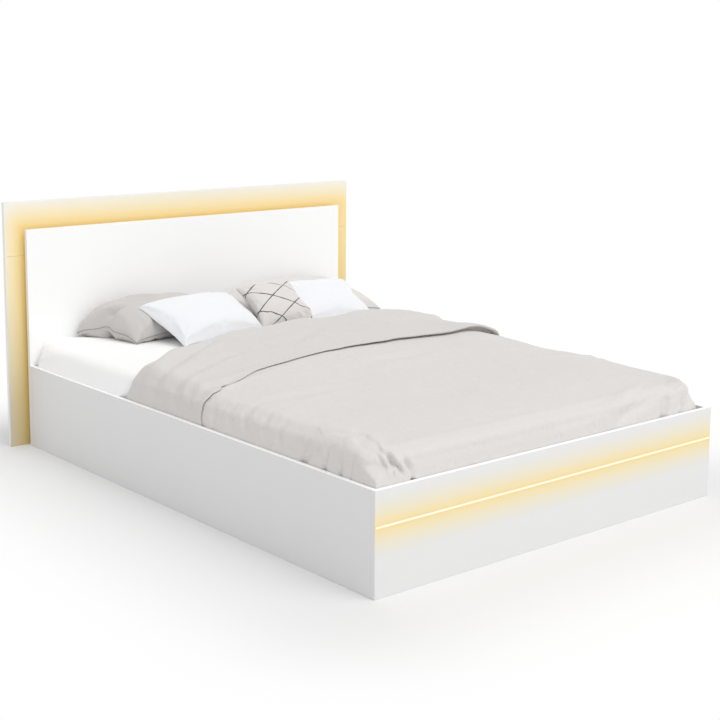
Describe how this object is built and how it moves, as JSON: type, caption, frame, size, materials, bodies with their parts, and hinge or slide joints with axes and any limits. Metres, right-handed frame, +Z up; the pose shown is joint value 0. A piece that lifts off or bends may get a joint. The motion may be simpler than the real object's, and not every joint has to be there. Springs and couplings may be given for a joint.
{
  "type": "double bed",
  "caption": "White double bed with a lit two-panel headboard, a light line in the footboard, slatted base, mattress, duvet and pillows",
  "frame": {"origin": "on the floor, under the middle of the bed's outer box", "axes": "X across the bed, right side positive; Y along it, headboard positive; Z up"},
  "size_m": [1.588, 1.98, 0.9],
  "materials": {
    "white_melamine": "satin",
    "pine": "matte",
    "zinc_steel": "satin",
    "aluminium": "satin",
    "opal_diffuser": "satin",
    "led_tape": "satin",
    "light_plastic": "satin",
    "dark_plastic": "matte",
    "webbing": "matte",
    "mattress_ticking": "matte",
    "white_cotton": "matte",
    "greige_cotton": "matte",
    "lattice_cotton": "matte"
  },
  "bodies": {
    "bed_frame": {"headboard_back_panel_lower": "white_melamine", "headboard_back_panel_upper": "white_melamine", "headboard_front_panel": "white_melamine", "side_rail_left": "white_melamine", "side_rail_right": "white_melamine", "footboard": "white_melamine", "headboard_spacer_left": "pine", "headboard_spacer_right": "pine", "headboard_spacer_top": "pine", "slat_batten_left": "pine", "slat_batten_right": "pine", "centre_beam": "pine", "centre_leg_foot": "pine", "centre_leg_head": "pine", "slat_01": "pine", "slat_02": "pine", "slat_03": "pine", "slat_04": "pine", "slat_05": "pine", "slat_06": "pine", "slat_07": "pine", "slat_08": "pine", "slat_09": "pine", "slat_10": "pine", "slat_11": "pine", "slat_12": "pine", "corner_bracket_foot_left": "zinc_steel", "corner_bracket_foot_right": "zinc_steel", "corner_bracket_head_left": "zinc_steel", "corner_bracket_head_right": "zinc_steel", "bracket_screw_foot_left_end": "zinc_steel", "bracket_screw_foot_left_rail": "zinc_steel", "bracket_screw_foot_right_end": "zinc_steel", "bracket_screw_foot_right_rail": "zinc_steel", "bracket_screw_head_left_end": "zinc_steel", "bracket_screw_head_left_rail": "zinc_steel", "bracket_screw_head_right_end": "zinc_steel", "bracket_screw_head_right_rail": "zinc_steel", "beam_hanger_foot": "zinc_steel", "beam_hanger_head": "zinc_steel", "footboard_led_channel": "aluminium", "footboard_led_diffuser": "opal_diffuser", "footboard_led_strip": "led_tape", "headboard_led_strip": "led_tape", "led_controller_case": "light_plastic", "footboard_light_lead": "light_plastic", "led_power_inlet": "dark_plastic", "slat_webbing_left": "webbing", "slat_webbing_right": "webbing", "mattress": "mattress_ticking", "fitted_sheet": "white_cotton", "pillow_white_left": "white_cotton", "pillow_white_right": "white_cotton", "duvet": "greige_cotton", "pillow_grey_left": "greige_cotton", "pillow_grey_right": "greige_cotton", "cushion_lattice": "lattice_cotton"},
    "foot_end_foot": {"levelling_foot_foot": "dark_plastic"},
    "head_end_foot": {"levelling_foot_head": "dark_plastic"},
    "power_button": {"led_power_button": "light_plastic"}
  },
  "joints": [
    {"name": "foot_end_levelling", "type": "slide", "parent": "bed_frame", "child": "foot_end_foot", "axis": [0, 0, 1], "range_m": [-0.008, 0.012]},
    {"name": "head_end_levelling", "type": "slide", "parent": "bed_frame", "child": "head_end_foot", "axis": [0, 0, 1], "range_m": [-0.008, 0.012]},
    {"name": "power_button_press", "type": "slide", "parent": "bed_frame", "child": "power_button", "axis": [-1, 0, 0], "range_m": [0, 0.0015], "stiffness_N_per_m": 400, "springref_m": -0.001}
  ]
}
